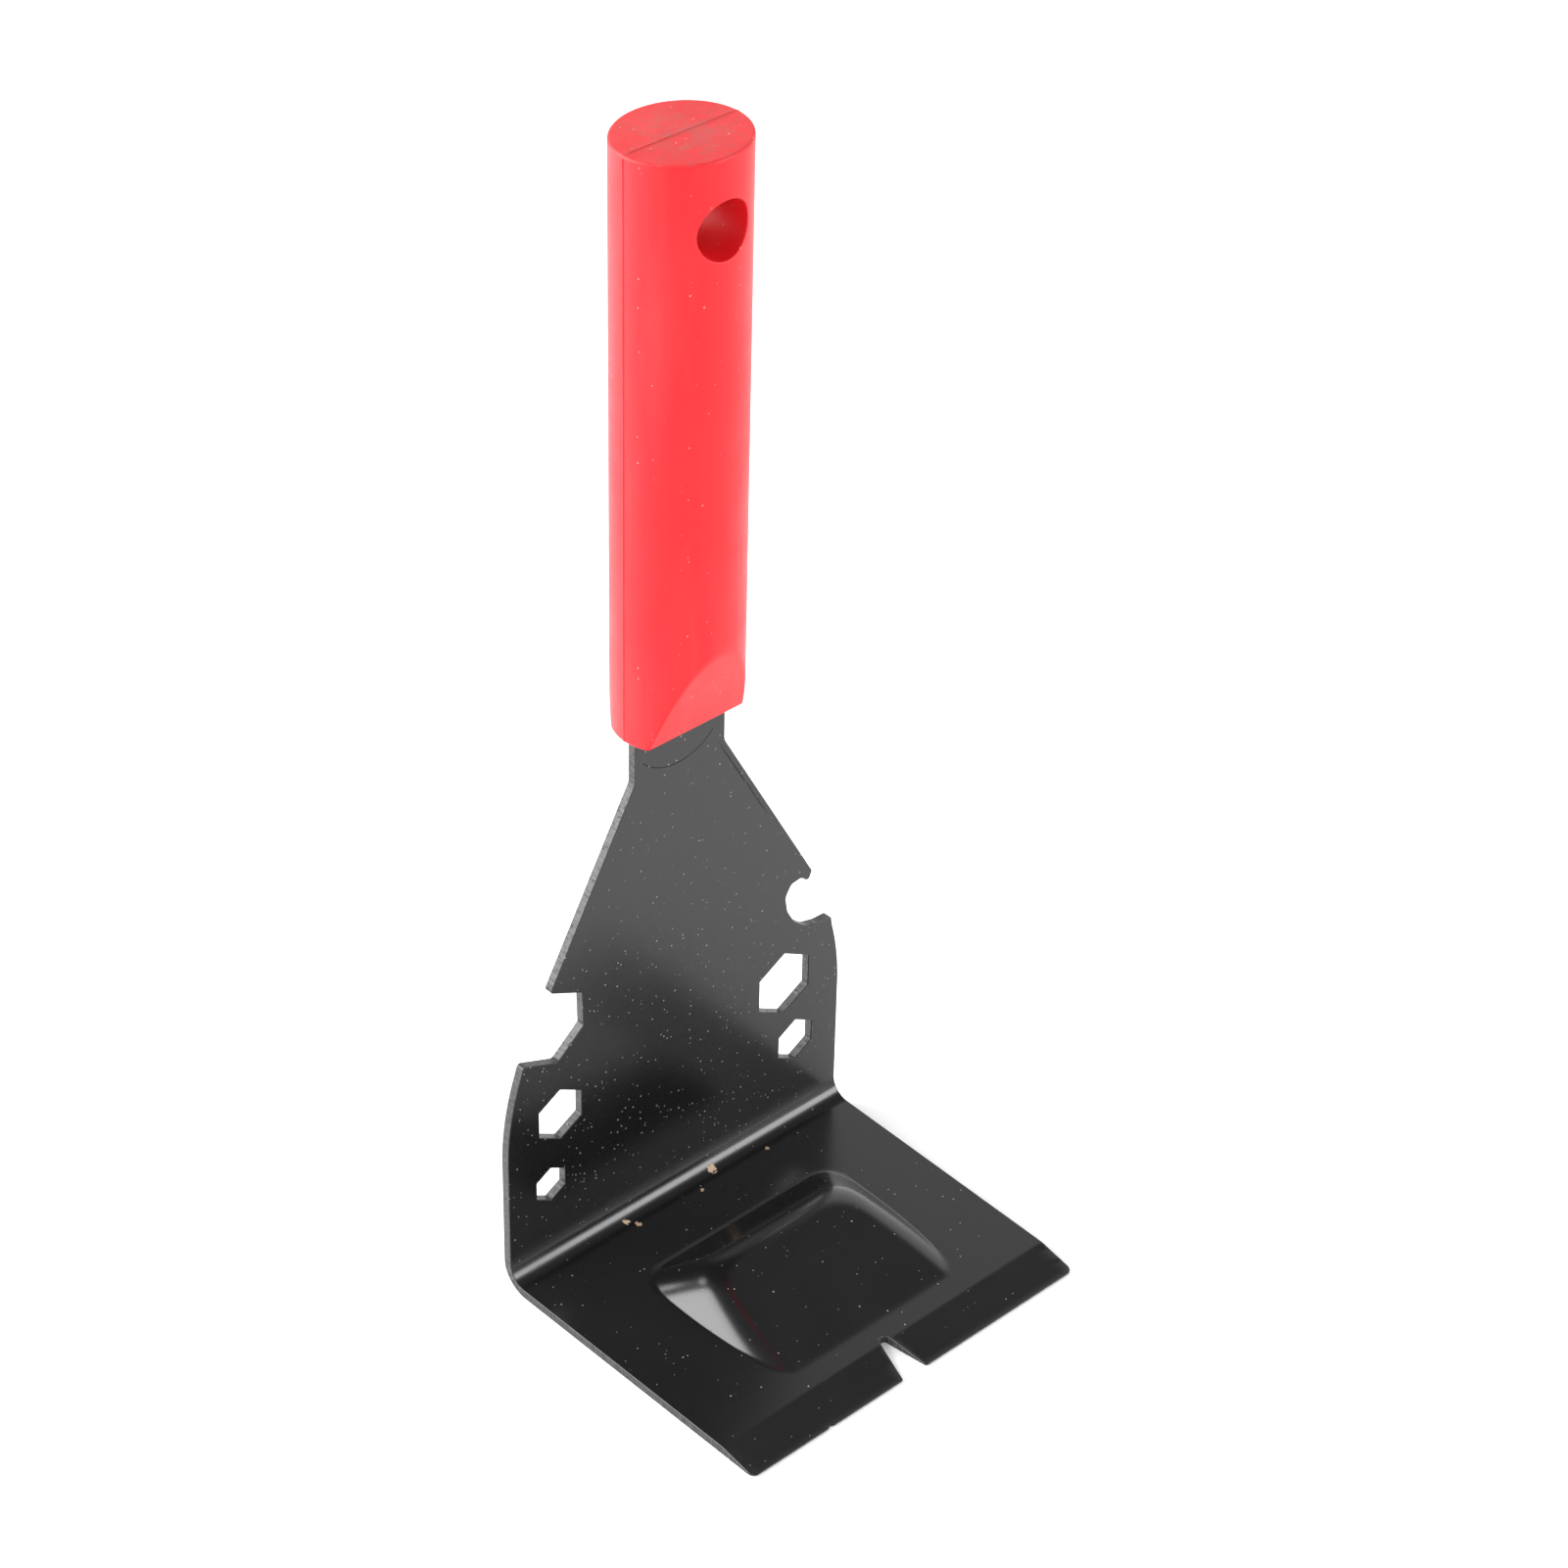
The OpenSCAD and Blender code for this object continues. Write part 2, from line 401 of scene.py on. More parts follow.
outline += arc((SHOULDER_R - 50, SHOULDER_Z), SHOULDER_R, 160.2, 178.5, 12)
outline += [up(-50, SHOULDER_Z), up(-50, BEND_R), foot(-50, -BEND_R)]

holes = [
    hexagon(32.7, 42.1, 15),
    hexagon(36.7, 23.3, 10),
    hexagon(-34.8, 40.7, 12),
    hexagon(-37.8, 21.8, 8),
]
holes += [circle_hole(0, z, 7) for z in LOCK_Z]


def edge_step(place):
    """Edges are short round the bend and longer elsewhere."""
    return 0.6 if -1 < place[1] < BEND_LEN + 1 else 1.4


def blade_interior(loops):
    """Points inside the blade's faces: dense on the wedge, the bend and the bevel's crease."""
    foot_end = foot(0, BEVEL_Y)[1]
    parts = [
        grid(-49, 49, 3.5, foot_end - 8.2, foot_end - 1.6, 2.2),
        grid(-49, 49, 1.6, foot_end - 0.45, foot_end + 0.45, 0.15),
        grid(-34, 36, 0.8, -61.5, -11, 0.8),
        grid(-49, -36, 3.2, -63, -2.5, 3.5),
        grid(36, 49, 3.2, -63, -2.5, 3.5),
        grid(-34, 34, 3.4, -8.5, -2.5, 3),
        grid(-49, 49, 1.6, 0, BEND_LEN, BEND_LEN / 14),
        grid(-48, 48, 4, BEND_LEN + 2.5, BEND_LEN + 200, 4),
    ]
    points = np.concatenate(parts)
    inside = np.zeros(len(points), bool)
    for loop in loops:
        inside ^= within(points, loop)
    rims = [wedge_rim(offset) for offset in (-0.7, -0.4, -0.18, 0, 0.18, 0.4)]
    return np.concatenate(rims + [clear_of(points[inside], loops + rims, 0.45)])


def edge_rings(skin, loop):
    """The rolled edge, the sheared wall and the back edge round one loop. Returns its two rims."""
    mean, stretch = inward(loop)
    _, along, out = sheet(loop[:, 0], loop[:, 1])
    into = along * mean[:, 1:2]
    into[:, 0] = mean[:, 0]
    thick = PLATE_T - bevel(loop[:, 1])
    run = np.cumsum(np.linalg.norm(loop - np.roll(loop, 1, axis=0), axis=1))
    rings = []
    for side, radius in ((1, FACE_ROUND), (-1, BACK_ROUND)):
        reach = np.minimum(radius, 0.4 * thick)
        for turn in np.radians([0, 22.5, 45, 67.5, 90]):
            back_in = loop + mean * (stretch * reach * (1 - math.sin(turn)))[:, None]
            place, _, _ = sheet(back_in[:, 0], back_in[:, 1])
            drop = reach * (1 - math.cos(turn))
            if side > 0:
                depth = bevel(back_in[:, 1]) + drop
            else:
                depth = PLATE_T - drop
            normal = side * math.cos(turn) * out - math.sin(turn) * into
            wall = math.sin(turn) ** 2
            ring = skin.add(place - out * depth[:, None], normal, wall, run)
            rings.append((back_in, ring))
    front, back = rings[:5], rings[5:][::-1]
    order = [ring for _, ring in front + back]
    for a, b in zip(order, order[1:]):
        skin.strip(b, a)
    return front[0], back[-1]


def make_blade():
    skin = Skin()
    loops = [resampled(rounded(outline), edge_step)]
    loops += [resampled(rounded(hole), lambda place: 0.8) for hole in holes]
    rims = [edge_rings(skin, loop) for loop in loops]
    for side, rise, depth in ((1, front_rise, 0), (-1, back_rise, PLATE_T)):
        pick = [front if side > 0 else back for front, back in rims]
        inner = blade_interior([flat for flat, _ in pick])
        points, normals = surface(inner[:, 0], inner[:, 1], rise, side, depth)
        flat = np.concatenate([flat for flat, _ in pick] + [inner])
        rub = np.clip(1 - np.abs(pressing(inner[:, 0], inner[:, 1])) / 0.15, 0, 1)
        rub *= np.clip((inner[:, 0] - 17) / 8, 0, 1) * np.clip((inner[:, 1] + 55) / 8, 0, 1) * (side > 0)
        indices = [i for _, ring in pick for i in ring] + skin.add(points, normals, rub=rub)
        spans, start = [], 0
        for _, ring in pick:
            spans.append(list(range(start, start + len(ring))))
            start += len(ring)
        skin.patch(flat, indices, spans)
    return skin.build("blade_sheet")


# ---------------------------------------------------------------- handle

FLAT_Y = 6.0                  # half the distance between the two flats at the lower end
FLAT_H = 22.8                 # height where the flats run out
HOLE_Z, HOLE_R = 255.0, 6.6
HOLE_ROUND = 0.35
TOP_ROUND = 0.7
LOW_ROUND = 0.5
SEAM_H, SEAM_W = 0.2, 0.18    # height and half-width of the parting line


def grip(turn, z, seam=SEAM_H):
    """Place on the handle's side at an angle and a height."""
    x, y = GRIP_A * np.cos(turn), GRIP_B * np.sin(turn)
    limit = FLAT_Y + (z - GRIP_Z0) * (GRIP_B - FLAT_Y) / FLAT_H
    y = np.sign(y) * smooth_min(np.abs(y), limit, 0.5)
    x = x + np.sign(x) * seam * np.exp(-((y / SEAM_W) ** 2))
    return np.stack([x, y + GRIP_Y, z + 0 * x], -1)


def grip_normal(turn, z, seam=SEAM_H):
    round_about = grip(turn + 1e-3, z, seam) - grip(turn - 1e-3, z, seam)
    upward = grip(turn, z + EPS, seam) - grip(turn, z - EPS, seam)
    return unit(np.cross(round_about, upward))


def stations():
    """Angles round the handle, closer together at the parting line."""
    steps = [math.asin(y / GRIP_B) for y in (0, 0.08, 0.16, 0.26, 0.4)]
    ends = steps + list(np.linspace(steps[-1], math.pi / 2, 34)[1:])
    quarter = np.array(ends)
    half = np.concatenate([quarter, math.pi - quarter[::-1][1:]])
    return np.concatenate([half, half[1:-1] + math.pi])


def seam_height(y):
    return SEAM_H * np.exp(-(((y - GRIP_Y) / SEAM_W) ** 2))


def hole_ring(skin, side, turns, depth_turn):
    """One ring of the hanging hole's rounded rim, and where it lies on the side's flat map."""
    radius = HOLE_R + HOLE_ROUND * (1 - math.sin(depth_turn))
    x, z = radius * np.cos(turns), HOLE_Z + radius * np.sin(turns)
    on_side = side * np.arccos(x / GRIP_A)
    place = grip(on_side, z)
    face = grip_normal(on_side, z)
    place[:, 1] -= side * HOLE_ROUND * (1 - math.cos(depth_turn))
    inner = np.stack([-np.cos(turns), 0 * turns, -np.sin(turns)], -1)
    normal = math.cos(depth_turn) * face + math.sin(depth_turn) * inner
    return skin.add(place, normal), on_side, z


def make_handle():
    skin = Skin()
    turns = stations()
    count = len(turns)

    def side_ring(z):
        return skin.add(grip(turns, np.full(count, z)), grip_normal(turns, np.full(count, z)))

    # sides up to the band that holds the hanging hole, and above it
    band_low, band_high = HOLE_Z - 9.5, HOLE_Z + 9.5
    rows = list(np.arange(GRIP_Z0 + LOW_ROUND, GRIP_Z0 + FLAT_H + 1.6, 0.5))
    rows += list(np.linspace(rows[-1], band_low, 40)[1:])
    lower = [side_ring(z) for z in rows]
    upper = [side_ring(z) for z in np.linspace(band_high, GRIP_Z1 - TOP_ROUND, 5)]
    for rings in (lower, upper):
        for a, b in zip(rings, rings[1:]):
            skin.strip(a, b)

    # the band: a flat map of angle and height, cut open along one line
    unroll = 14.4
    walls = {}
    flat, indices, loops = [], [], []

    def corner_row(ring, z, backwards):
        row = [(t * unroll, z) for t in turns] + [(2 * math.pi * unroll, z)]
        which = ring + [ring[0]]
        return (row[::-1], which[::-1]) if backwards else (row, which)

    rows_mid = list(np.linspace(band_low, band_high, 13)[1:-1])
    on_seam = np.zeros(len(rows_mid))
    seam_z = np.array(rows_mid)
    seam_points = skin.add(grip(on_seam, seam_z), grip_normal(on_seam, seam_z))
    low_row, low_which = corner_row(lower[-1], band_low, False)
    high_row, high_which = corner_row(upper[0], band_high, True)
    flat += low_row + [(2 * math.pi * unroll, z) for z in rows_mid]
    flat += high_row + [(0, z) for z in rows_mid[::-1]]
    indices += low_which + seam_points + high_which + seam_points[::-1]
    loops.append(list(range(len(flat))))
    round_hole = np.radians(np.arange(0, 360, 3.75))
    for side in (1, -1):
        rings = []
        for depth_turn in np.radians([0, 30, 60, 90]):
            ring, on_side, z = hole_ring(skin, side, round_hole, depth_turn)
            if not rings:
                start = len(flat)
                mapped = np.where(on_side < 0, on_side + 2 * math.pi, on_side) * unroll
                flat += list(zip(mapped, z))
                indices += ring
                loops.append(list(range(start, len(flat))))
            rings.append(ring)
        for a, b in zip(rings, rings[1:]):
            skin.strip(a, b)
        walls[side] = rings[-1]
    flat_rims = [np.array([flat[i] for i in loop]) for loop in loops]
    fill = np.array([(t * unroll, z) for t in turns[1:] for z in rows_mid])
    inside = np.zeros(len(fill), bool)
    for rim in flat_rims:
        inside ^= within(fill, rim)
    inside = fill[inside]
    fill = clear_of(inside, flat_rims[1:], 0.5)
    turn, z = fill[:, 0] / unroll, fill[:, 1]
    indices += skin.add(grip(turn, z), grip_normal(turn, z))
    skin.patch(flat + [tuple(p) for p in fill], indices, loops)

    # the hole's wall, front to back
    axis_rings = [walls[-1]]
    inner = np.stack([-np.cos(round_hole), 0 * round_hole, -np.sin(round_hole)], -1)
    front_wall = np.array([skin.points[i] for i in walls[-1]])
    back_wall = np.array([skin.points[i] for i in walls[1]])
    for share in np.linspace(0, 1, 9)[1:-1]:
        axis_rings.append(skin.add(front_wall * (1 - share) + back_wall * share, inner))
    axis_rings.append(walls[1])
    for a, b in zip(axis_rings, axis_rings[1:]):
        skin.strip(b, a)

    def end_rings(base_ring, z_end, radius, way):
        """Rings that round the top edge (way 1) or the lower edge (way -1)."""
        base = np.array([skin.points[i] for i in base_ring])
        face = grip_normal(turns, base[:, 2], seam=0.0)
        face[:, 2] = 0
        face = unit(face)
        rings = [base_ring]
        for bend in np.radians([22.5, 45, 67.5, 90]):
            place = base - face * radius * (1 - math.cos(bend))
            place[:, 2] = z_end + way * radius * (math.sin(bend) - 1)
            normal = face * math.cos(bend)
            normal[:, 2] = way * math.sin(bend)
            rings.append(skin.add(place, normal))
        for a, b in zip(rings, rings[1:]):
            skin.strip(a, b)
        return rings[-1]

    # rounded top edge, and the flat top with the parting line across it
    top = end_rings(upper[-1], GRIP_Z1, TOP_ROUND, 1)
    rim = np.array([skin.points[i][:2] for i in top])
    seam_rows = [GRIP_Y + y for y in (-0.4, -0.26, -0.16, -0.08, 0, 0.08, 0.16, 0.26, 0.4)]
    fine = np.array([(x, y) for y in seam_rows for x in np.linspace(-14, 14, 29)])
    coarse = grid(-14, 14, 1.4, GRIP_Y - 13, GRIP_Y + 13, 1.37)
    coarse = coarse[np.abs(coarse[:, 1] - GRIP_Y) > 0.7]
    fill = np.concatenate([fine, coarse])
    fill = clear_of(fill[within(fill, rim)], [rim], 0.5)
    slope = (seam_height(fill[:, 1] + EPS) - seam_height(fill[:, 1] - EPS)) / (2 * EPS)
    points = np.stack([fill[:, 0], fill[:, 1], GRIP_Z1 + seam_height(fill[:, 1])], -1)
    normals = np.stack([0 * slope, -slope, 1 + 0 * slope], -1)
    indices = top + skin.add(points, normals)
    skin.patch(np.concatenate([rim, fill]), indices, [list(range(count))])

    # lower end: rounded edge, flat face, and the pocket that the tang fills
    low = end_rings(lower[0], GRIP_Z0, LOW_ROUND, -1)
    rim = np.array([skin.points[i][:2] for i in low])
    slot = np.array([(NECK, 0), (NECK, PLATE_T), (-NECK, PLATE_T), (-NECK, 0)])
    pocket = make_pocket(skin)
    skin.patch(np.concatenate([rim, slot]), low + pocket,
               [list(range(count)), list(range(count, count + 4))], flat_normal=(0, 0, -1))
    return skin.build("handle_grip")


def make_pocket(skin):
    """The hollow round the tang, with the two plastic plugs that fill its lock holes.

    Returns the four corners of its mouth.
    """
    profile = [(NECK, GRIP_Z0), (NECK, COVER_Z), (TANG, COVER_Z), (TANG, TANG_Z - 5), (TANG - 5, TANG_Z)]
    profile += [(-x, z) for x, z in profile[::-1]]
    turns = np.radians(np.arange(0, 360, 15))
    loops = [np.array(profile)]
    loops += [np.stack([3.5 * np.cos(turns), z + 3.5 * np.sin(turns)], -1) for z in LOCK_Z]
    flat = np.concatenate(loops)
    sides = []
    for y, facing in ((0.0, 1.0), (PLATE_T, -1.0)):
        points = np.stack([flat[:, 0], np.full(len(flat), y), flat[:, 1]], -1)
        indices = skin.add(points, np.tile([0.0, facing, 0.0], (len(flat), 1)))
        ends = np.cumsum([0] + [len(loop) for loop in loops])
        spans = [list(range(a, b)) for a, b in zip(ends, ends[1:])]
        skin.patch(flat, indices, spans, flat_normal=(0.0, facing, 0.0))
        sides.append([[indices[i] for i in span] for span in spans])
    for number, (loop, front, back) in enumerate(zip(loops, *sides)):
        out = 1 if number == 0 else -1
        edges = len(loop) - 1 if number == 0 else len(loop)
        for i in range(edges):
            j = (i + 1) % len(loop)
            edge = unit(loop[j] - loop[i])
            skin.face((front[i], front[j], back[j], back[i]), (-out * edge[1], 0.0, out * edge[0]))
    front, back = sides[0][0], sides[1][0]
    return [front[0], back[0], back[-1], front[-1]]


# ---------------------------------------------------------------- materials


class Paint:
    """A short way to write a node material."""

    def __init__(self, name):
        self.material = bpy.data.materials.new(name)
        self.material.use_nodes = True
        self.nodes = self.material.node_tree.nodes
        self.links = self.material.node_tree.links
        self.shader = next(n for n in self.nodes if n.type == "BSDF_PRINCIPLED")
        self.place = self.nodes.new("ShaderNodeTexCoord").outputs["Object"]

    def node(self, kind, inputs=None, **settings):
        made = self.nodes.new(kind)
        for key, value in settings.items():
            setattr(made, key, value)
        for key, value in (inputs or {}).items():
            self.put(made.inputs[key], value)
        return made

    def put(self, socket, value):
        if isinstance(value, bpy.types.NodeSocket):
            self.links.new(value, socket)
        else:
            socket.default_value = value

    def math(self, operation, a, b=0.0, clamp=False):
        made = self.node("ShaderNodeMath", {0: a, 1: b}, operation=operation, use_clamp=clamp)
        return made.outputs[0]

    def noise(self, scale, detail=2.0, rough=0.5, place=None):
        inputs = {"Scale": scale, "Detail": detail, "Roughness": rough, "Vector": place or self.place}
        return self.node("ShaderNodeTexNoise", inputs).outputs["Fac"]

    def stretched(self, factors):
        made = self.node("ShaderNodeMapping", {"Vector": self.place, "Scale": factors})
        return made.outputs["Vector"]

    def cells(self, scale):
        made = self.node("ShaderNodeTexVoronoi", {"Scale": scale, "Vector": self.place})
        return made.outputs["Distance"], made.outputs["Color"]

    def remap(self, value, low, high, new_low=0.0, new_high=1.0):
        inputs = {"Value": value, "From Min": low, "From Max": high, "To Min": new_low, "To Max": new_high}
        return self.node("ShaderNodeMapRange", inputs).outputs[0]

    def mix(self, share, a, b):
        made = self.node("ShaderNodeMix", data_type="RGBA")
        self.put(made.inputs["Factor"], share)
        self.put(made.inputs[6], a)
        self.put(made.inputs[7], b)
        return made.outputs[2]

    def attribute(self, name):
        return self.node("ShaderNodeAttribute", attribute_name=name).outputs["Fac"]

    def spot(self, x, y, z, radius, blur):
        """1 within radius of a place given in mm from the inner corner, falling to 0 over blur."""
        target = tuple(to_row((x, y, z)))
        made = self.node("ShaderNodeVectorMath", {0: self.place, 1: target}, operation="DISTANCE")
        return self.remap(made.outputs["Value"], (radius + blur) * MM, radius * MM)

    def band(self, value, centre, half, blur):
        """1 where value is within half of centre, falling to 0 over blur. All in metres."""
        off = self.math("ABSOLUTE", self.math("SUBTRACT", value, centre))
        return self.remap(off, half + blur, half)

    def specks(self, scale, radius, share):
        """Round specks in a share of the cells, and a colour that is the same over each cell."""
        distance, colour = self.cells(scale)
        parts = self.node("ShaderNodeSeparateColor", {"Color": colour})
        chosen = self.math("LESS_THAN", parts.outputs[0], share)
        size = self.math("MULTIPLY", parts.outputs[1], radius)
        near = self.math("LESS_THAN", distance, size)
        return self.math("MULTIPLY", near, chosen), parts.outputs[2]

    def bump(self, height, strength, distance, normal=None):
        inputs = {"Height": height, "Strength": strength, "Distance": distance}
        if normal is not None:
            inputs["Normal"] = normal
        return self.node("ShaderNodeBump", inputs).outputs["Normal"]


CRUMBS = [                    # tan crumbs lying along the bend: x, y, z and radius
    (8.8, -2.3, 0.7, 1.1),
    (-17.9, -2.8, 0.5, 0.8),
    (-16.0, -4.8, 0.0, 0.7),
    (24.1, -4.7, 0.0, 0.6),
    (2.8, -5.7, 0.0, 0.5),
]


def black_coating():
    paint = Paint("blade_coating")
    run = paint.attribute("run")
    wall = paint.remap(paint.attribute("wall"), 0.8, 1.0)
    place = paint.node("ShaderNodeSeparateXYZ", {"Vector": paint.place})
    x, y, z = (place.outputs[axis] for axis in "XYZ")

    # sheared walls: greyer, with marks that run through the sheet's thickness
    line = paint.node("ShaderNodeCombineXYZ", {"X": run}).outputs[0]
    marks = paint.remap(paint.noise(1.6, 3.0, 0.7, place=line), 0.35, 0.65)
    blotch = paint.remap(paint.noise(900, 3.0, 0.6), 0.3, 0.6, 0.4, 1.0)
    marks = paint.math("MULTIPLY", marks, blotch)
    chips = paint.remap(paint.noise(1100, 3.0, 0.6), 0.55, 0.62)
    wall_colour = paint.mix(marks, (0.006, 0.006, 0.006, 1), (0.08, 0.078, 0.075, 1))
    cloud = paint.noise(35, 3.0)
    face_colour = paint.mix(cloud, (0.0045, 0.0043, 0.005, 1), (0.007, 0.0067, 0.0073, 1))
    colour = paint.mix(wall, face_colour, wall_colour)

    # the pressing's rim, rubbed brown where it stands out
    broken = paint.remap(paint.noise(700, 3.0, 0.6), 0.3, 0.6, 0.25, 0.9)
    rub = paint.math("MULTIPLY", paint.attribute("rub"), broken)
    colour = paint.mix(rub, colour, (0.15, 0.105, 0.07, 1))

    # a thin dark arc across the neck
    flat_place = paint.node("ShaderNodeCombineXYZ", {"X": x, "Z": z}).outputs[0]
    centre = (-0.0006, 0.0, 0.1369)
    out = paint.node("ShaderNodeVectorMath", {0: flat_place, 1: centre}, operation="DISTANCE")
    arc_line = paint.band(out.outputs["Value"], 0.0138, 0.00012, 0.00012)
    arc_line = paint.math("MULTIPLY", arc_line, paint.math("LESS_THAN", z, 0.1274))

    # a burr along the right taper, seen as a dark wavering line inside its edge
    across = paint.math("ADD", paint.math("MULTIPLY", x, 0.873), paint.math("MULTIPLY", z, 0.4877))
    wander = paint.math("MULTIPLY", paint.math("SUBTRACT", paint.noise(110, 3.0, 0.6), 0.5), 0.002)
    burr = paint.band(paint.math("ADD", across, wander), 0.0698, 0.0001, 0.00015)
    burr = paint.math("MULTIPLY", burr, paint.band(z, 0.1095, 0.010, 0.004))
    dark_line = paint.math("MAXIMUM", arc_line, burr)

    # dust: fine pale specks, thickest low on the upright and in one cluster on the foot
    low = paint.remap(z, 0.11, 0.03, 0.5, 1.0)
    low = paint.math("MULTIPLY", low, paint.remap(z, 0.004, 0.014, 0.4, 1.0))
    patchy = paint.remap(paint.noise(55, 2.0), 0.38, 0.62, 0.6, 1.0)
    cluster = paint.spot(-43.0, -45.0, 0.0, 2.0, 7.0)
    many = paint.math("ADD", paint.math("MULTIPLY", low, patchy), cluster)
    fine, fine_tone = paint.specks(880, 0.2, paint.math("MULTIPLY", many, 0.55))
    grain, _ = paint.specks(210, 0.042, paint.math("MULTIPLY", many, 0.4))
    dust = paint.math("MAXIMUM", fine, grain)
    tone = paint.mix(fine_tone, (0.04, 0.038, 0.036, 1), (0.36, 0.32, 0.27, 1))
    colour = paint.mix(paint.math("MULTIPLY", dust, 0.7), colour, tone)

    # crumbs of old filler
    ragged = paint.math("MULTIPLY", paint.math("SUBTRACT", paint.noise(1500, 3.0, 0.6), 0.5), 3.2)
    crumbs = 0.0
    for at_x, at_y, at_z, radius in CRUMBS:
        near = paint.spot(at_x, at_y, at_z, 0.3 * radius, 1.2 * radius)
        shape = paint.remap(paint.math("ADD", near, ragged), 0.45, 0.55)
        crumbs = paint.math("MAXIMUM", crumbs, paint.math("MULTIPLY", shape, near))
    crumbs = paint.remap(crumbs, 0.1, 0.3)
    colour = paint.mix(crumbs, colour, (0.5, 0.36, 0.24, 1))
    paint.put(paint.shader.inputs["Base Color"], colour)

    smear = paint.noise(60, 4.0, 0.6)
    rough = paint.remap(smear, 0.3, 0.7, 0.20, 0.25)
    worn = paint.math("MAXIMUM", paint.math("MAXIMUM", dust, crumbs), rub)
    rough = paint.math("ADD", rough, paint.math("MULTIPLY", wall, 0.14))
    rough = paint.math("ADD", rough, paint.math("MULTIPLY", worn, 0.4), clamp=True)
    paint.put(paint.shader.inputs["Roughness"], rough)
    # painted shade: walls close to the floor lose more of their shine, standing in for the floor's shadow
    # that they reflect; all walls are a little duller, more so at coating chips
    wall_dulling_and_floor_shade = paint.remap(z, 0.003, 0.002, 0.14, 0.3)
    wall_dulling_and_floor_shade = paint.math("MULTIPLY", wall, paint.math("MAXIMUM", wall_dulling_and_floor_shade, paint.math("MULTIPLY", chips, 0.4)))
    dulled = paint.math("MAXIMUM", wall_dulling_and_floor_shade, paint.math("MULTIPLY", dark_line, 0.3))
    shine = paint.math("SUBTRACT", 0.5, dulled)
    paint.put(paint.shader.inputs["Specular IOR Level"], shine)
    paint.shader.inputs["IOR"].default_value = 1.52

    peel = paint.bump(paint.noise(1400, 2.0), 0.08, 0.00005)
    ripple = paint.bump(paint.math("MULTIPLY", marks, wall), 0.3, 0.0001, peel)
    raised = paint.bump(paint.math("MAXIMUM", dust, crumbs), 0.5, 0.0001, ripple)
    paint.put(paint.shader.inputs["Normal"], raised)
    return paint.material


def red_plastic():
    paint = Paint("handle_plastic")
    cloud = paint.noise(45, 3.0)
    colour = paint.mix(cloud, (0.56, 0.005, 0.010, 1), (0.66, 0.009, 0.015, 1))
    place = paint.node("ShaderNodeSeparateXYZ", {"Vector": paint.place})

    # painted shade: a thin dark line along the parting line, standing in for the shadow beside its raised
    # ridge
    seam_y = float(to_row((0, GRIP_Y, 0))[1])
    seam = paint.band(place.outputs["Y"], seam_y, 0.00010, 0.00010)
    colour = paint.mix(paint.math("MULTIPLY", seam, 0.7), colour, (0.26, 0.005, 0.008, 1))

    # pale scuffs on the flat top only
    top = paint.math("GREATER_THAN", place.outputs["Z"], float(to_row((0, 0, GRIP_Z1 - 0.3))[2]))
    middle = paint.spot(0, GRIP_Y, GRIP_Z1, 4.0, 10.0)
    scuff = paint.remap(paint.noise(420, 6.0, 0.72), 0.38, 0.66)
    film = paint.math("MULTIPLY", scuff, paint.remap(middle, 0.0, 1.0, 0.2, 0.6))
    film = paint.math("MULTIPLY", top, paint.math("ADD", film, 0.06))
    colour = paint.mix(film, colour, (0.25, 0.13, 0.12, 1))

    # a faint haze in long patches down the sides, and fine pale specks
    haze = paint.remap(paint.noise(1, 3.0, 0.55, place=paint.stretched((110, 110, 16))), 0.45, 0.75)
    colour = paint.mix(paint.math("MULTIPLY", haze, 0.05), colour, (0.8, 0.3, 0.28, 1))
    fine, _ = paint.specks(760, 0.2, 0.22)
    grain, _ = paint.specks(150, 0.06, 0.35)
    dust = paint.math("MAXIMUM", fine, grain)
    colour = paint.mix(paint.math("MULTIPLY", dust, 0.3), colour, (0.85, 0.5, 0.45, 1))
    paint.put(paint.shader.inputs["Base Color"], colour)
    rough = paint.remap(paint.noise(70, 4.0, 0.6), 0.3, 0.7, 0.36, 0.46)
    paint.put(paint.shader.inputs["Roughness"], paint.math("ADD", rough, film, clamp=True))
    paint.shader.inputs["IOR"].default_value = 1.46
    paint.shader.inputs["Specular IOR Level"].default_value = 0.36
    paint.shader.inputs["Subsurface Weight"].default_value = 0.12
    paint.shader.inputs["Subsurface Radius"].default_value = (1.0, 0.12, 0.08)
    paint.shader.inputs["Subsurface Scale"].default_value = 0.002
    grainy = paint.bump(paint.noise(2600, 2.0), 0.2, 0.00003)
    flow = paint.bump(paint.noise(1, 3.0, place=paint.stretched((160, 160, 22))), 0.2, 0.0001, grainy)
    paint.put(paint.shader.inputs["Normal"], flow)
    return paint.material


# ---------------------------------------------------------------- pieces

blade = make_blade()
blade.data.materials.append(black_coating())
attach(blade, "root")
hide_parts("blade")

handle = make_handle()
handle.data.materials.append(red_plastic())
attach(handle, "root")
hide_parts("handle")

# ---------------------------------------------------------------- camera, floor and light

YAW, PITCH, ROLL = (math.radians(angle) for angle in (-43.562, 36.095, 1.499))
CAMERA_AT = (-0.485227, -0.510009, 0.6483)
LENS = 95.67                  # mm on a 36 mm wide sensor

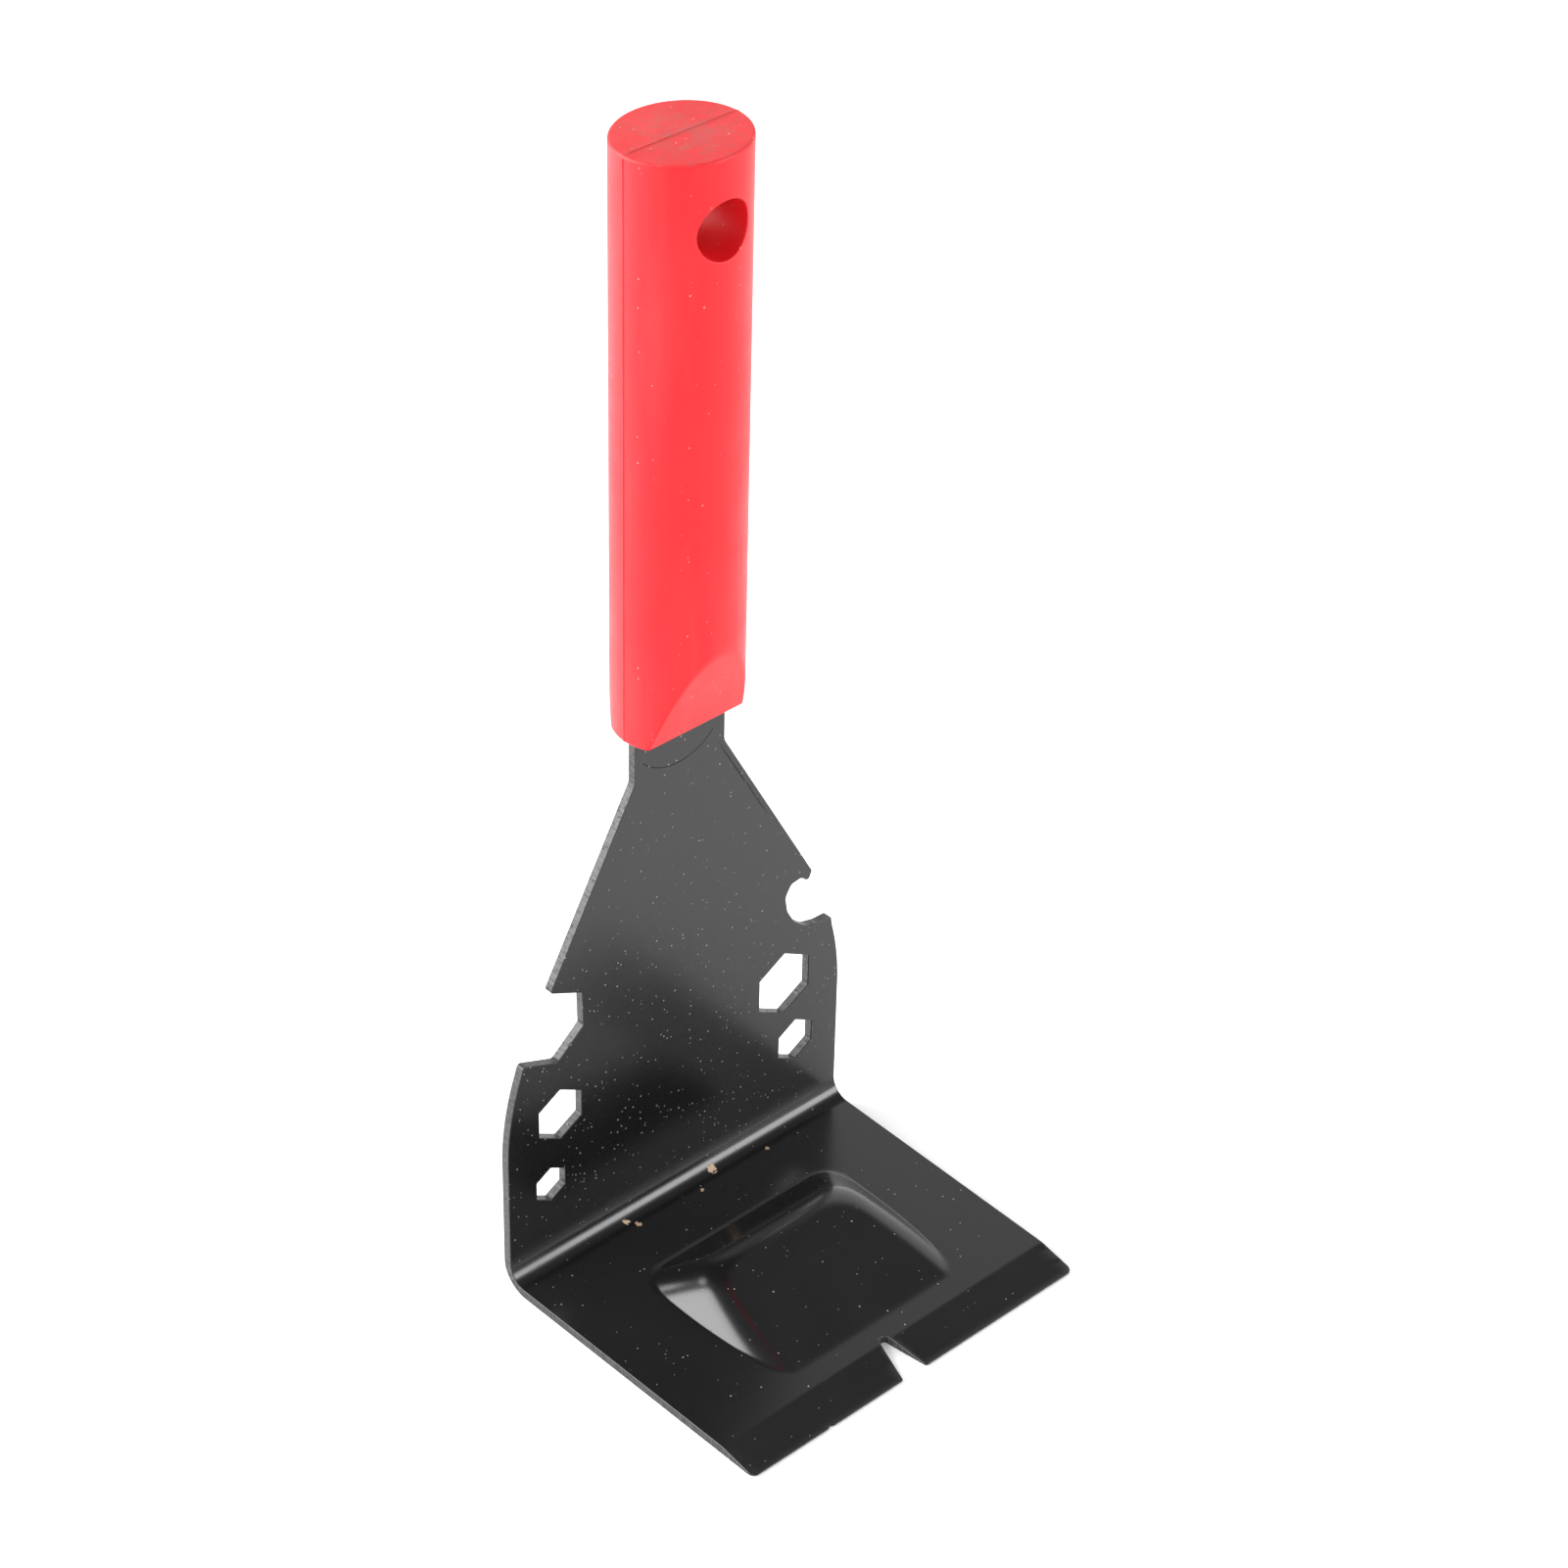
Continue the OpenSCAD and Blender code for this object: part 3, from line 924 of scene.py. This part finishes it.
right = np.array([math.cos(YAW), math.sin(YAW), 0])
backward = np.array([
    math.sin(YAW) * math.cos(PITCH),
    -math.cos(YAW) * math.cos(PITCH),
    math.sin(PITCH),
])
upward = np.cross(backward, right)
camera_x = math.cos(ROLL) * right + math.sin(ROLL) * upward
camera_y = math.cos(ROLL) * upward - math.sin(ROLL) * right
turned = Matrix(np.column_stack([camera_x, camera_y, backward]).tolist()).to_4x4()
camera = bpy.data.objects.new("camera", bpy.data.cameras.new("camera"))
camera.matrix_world = Matrix.Translation(CAMERA_AT) @ turned
camera.data.lens = LENS
camera.data.sensor_width = 36
camera.data.clip_start = 0.01
camera.data.clip_end = 50
bpy.context.scene.collection.objects.link(camera)
bpy.context.scene.camera = camera


def make_floor():
    mesh = bpy.data.meshes.new("floor")
    size = 6.0
    corners = [(-size, -size, 0), (size, -size, 0), (size, size, 0), (-size, size, 0)]
    mesh.from_pydata(corners, [], [(0, 1, 2, 3)])
    mesh.update()
    floor = bpy.data.objects.new("floor", mesh)
    floor.location.z = -0.0003
    bpy.context.scene.collection.objects.link(floor)
    paint = Paint("floor_paper")
    tint = paint.mix(paint.noise(3, 2.0), (0.86, 0.86, 0.86, 1), (0.88, 0.88, 0.88, 1))
    paint.put(paint.shader.inputs["Base Color"], tint)
    paint.shader.inputs["Roughness"].default_value = 0.9
    paint.shader.inputs["Emission Color"].default_value = (1, 1, 1, 1)
    paint.shader.inputs["Emission Strength"].default_value = 0.15
    mesh.materials.append(paint.material)


def soft_light(name, direction, distance, size, power):
    """A square soft light, that far from the object's middle in that direction, facing it."""
    data = bpy.data.lights.new(name, "AREA")
    data.energy = power
    data.size = size
    lamp = bpy.data.objects.new(name, data)
    towards = Vector(direction).normalized()
    lamp.location = Vector((0, 0, 0.1)) + towards * distance
    lamp.rotation_euler = towards.to_track_quat("Z", "Y").to_euler()
    bpy.context.scene.collection.objects.link(lamp)


make_floor()
soft_light("light_back_left", (-0.68, 0.60, 0.42), 1.2, 1.1, 34)
soft_light("light_front_right", (0.557, -0.733, 0.391), 1.4, 0.62, 10.5)
soft_light("light_front_left", (-0.9, -0.35, 0.75), 1.6, 1.2, 4)

world = bpy.data.worlds.new("studio")
world.use_nodes = True
sky = world.node_tree.nodes
sky_links = world.node_tree.links
direction = sky.new("ShaderNodeTexCoord").outputs["Generated"]
height = sky.new("ShaderNodeSeparateXYZ")
sky_links.new(direction, height.inputs["Vector"])
fade = sky.new("ShaderNodeMapRange")
fade.interpolation_type = "SMOOTHSTEP"
sky_links.new(height.outputs["Z"], fade.inputs["Value"])
for name, value in (("From Min", 0.60), ("From Max", 0.78), ("To Min", 1.35), ("To Max", 0.24)):
    fade.inputs[name].default_value = value
sky["Background"].inputs["Color"].default_value = (1, 1, 1, 1)
sky_links.new(fade.outputs["Result"], sky["Background"].inputs["Strength"])
bpy.context.scene.world = world
bpy.context.scene.view_settings.view_transform = "Standard"
